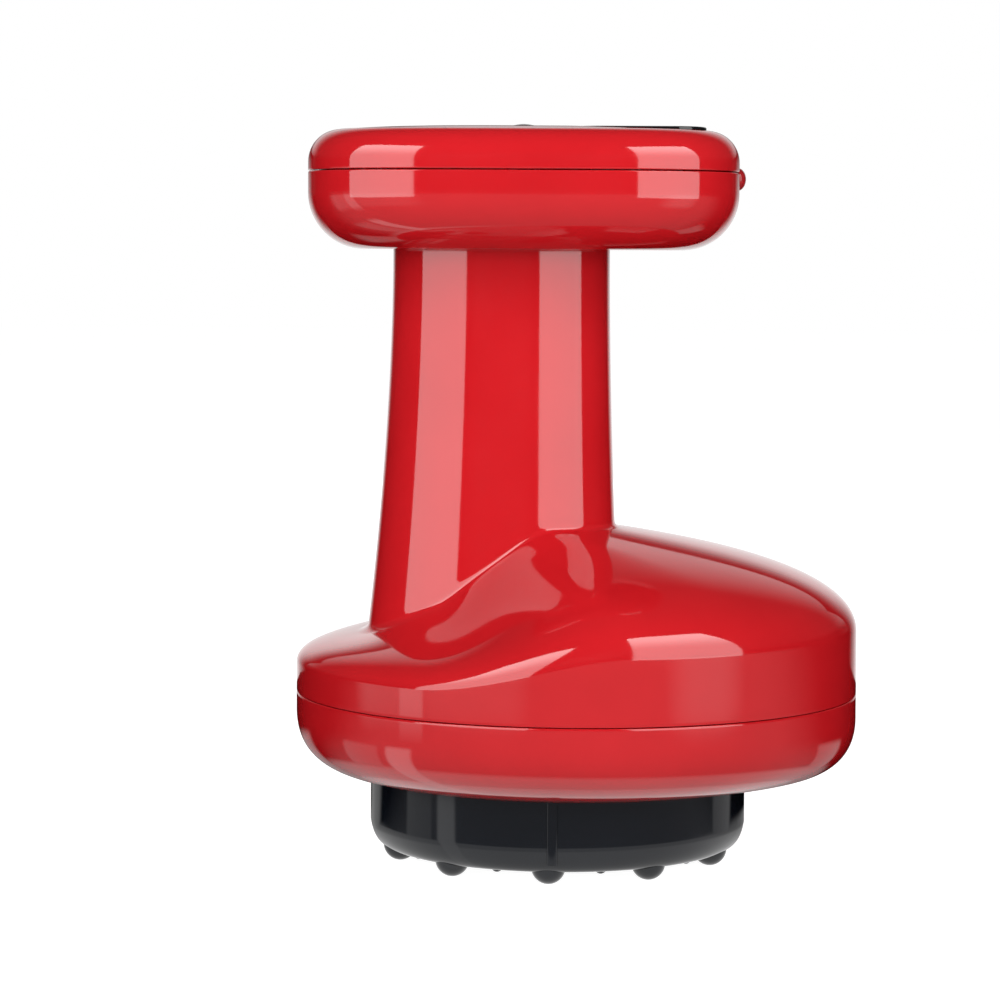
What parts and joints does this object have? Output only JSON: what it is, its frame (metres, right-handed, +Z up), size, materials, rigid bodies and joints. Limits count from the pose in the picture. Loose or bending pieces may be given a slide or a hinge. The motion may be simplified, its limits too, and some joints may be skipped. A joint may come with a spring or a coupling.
{
  "type": "electric cupping massager",
  "caption": "Hand-held electric suction cupping massager: round base, beaded twist-off cup ring, upright handle, and a cross-bar head with a push button and a black control panel.",
  "frame": {"origin": "centre of the round base, on the plane of the bead tips that the massager stands on", "axes": "+Z up along the handle, front faces -Y, the head's long side lies along X"},
  "size_m": [0.1034, 0.1034, 0.1352],
  "materials": {
    "case_red": "high gloss moulded plastic",
    "ring_black": "gloss moulded plastic",
    "button_brown": "gloss plastic",
    "panel_black": "polished smoked plastic",
    "indicator_red": "translucent red plastic",
    "clear_lens": "translucent plastic",
    "inner_plastic": "dark moulded plastic",
    "rubber": "soft black rubber",
    "silicone": "milky silicone",
    "board_green": "circuit board",
    "steel": "plain steel",
    "cell_blue": "metal can in a blue wrap",
    "white_plastic": "white plastic"
  },
  "bodies": {
    "case": {"body_shell": "case_red", "base_lower_shell": "case_red", "head_lower_shell": "case_red", "head_top_cover": "case_red", "control_panel_lens": "panel_black", "indicator_lens": "indicator_red", "cup_plate": "inner_plastic", "cup_gasket": "rubber", "suction_filter": "steel", "light_ring_lens": "clear_lens", "light_board": "board_green", "main_board": "board_green", "control_board": "board_green", "button_switch": "steel", "display_module": "white_plastic", "charging_socket": "steel", "pump_cradle": "inner_plastic", "pump_motor": "steel", "pump_head": "white_plastic", "pump_diaphragm": "rubber", "pump_lid": "white_plastic", "suction_hose": "silicone", "valve_body": "steel", "valve_spring": "steel", "battery_cell": "cell_blue", "battery_holder": "inner_plastic", "ribbon_cable": "white_plastic", "base_screw_1": "steel", "base_screw_2": "steel", "base_screw_3": "steel", "base_screw_4": "steel", "cup_plate_screw_1": "steel", "cup_plate_screw_2": "steel", "cup_plate_screw_3": "steel", "main_board_screw_1": "steel", "main_board_screw_2": "steel", "main_board_screw_3": "steel", "main_board_screw_4": "steel", "control_board_screw_1": "steel", "control_board_screw_2": "steel", "control_board_screw_3": "steel", "control_board_screw_4": "steel", "handle_screw_1": "steel", "handle_screw_2": "steel"},
    "twist_ring": {"cup_ring": "ring_black"},
    "button": {"power_button": "button_brown"},
    "shaft": {"pump_shaft": "steel"},
    "plunger": {"valve_plunger": "steel"}
  },
  "joints": [
    {"name": "cup_ring_twist", "type": "hinge", "parent": "case", "child": "twist_ring", "pos_m": [-0.0033, 0, 0.01], "axis": [0, 0, 1], "range_deg": [0, 40]},
    {"name": "power_button_press", "type": "slide", "parent": "case", "child": "button", "axis": [0, 0, 1], "range_m": [-0.0006, 0], "stiffness_N_per_m": 1500, "springref_m": 0.0002},
    {"name": "pump_shaft_spin", "type": "hinge", "parent": "case", "child": "shaft", "pos_m": [0.021, 0, 0.036], "axis": [0, 1, 0], "continuous": true},
    {"name": "valve_plunger_release", "type": "slide", "parent": "case", "child": "plunger", "axis": [0, 0, 1], "range_m": [-0.0012, 0], "stiffness_N_per_m": 300, "springref_m": 0.001, "deforming": ["valve_spring"]}
  ]
}
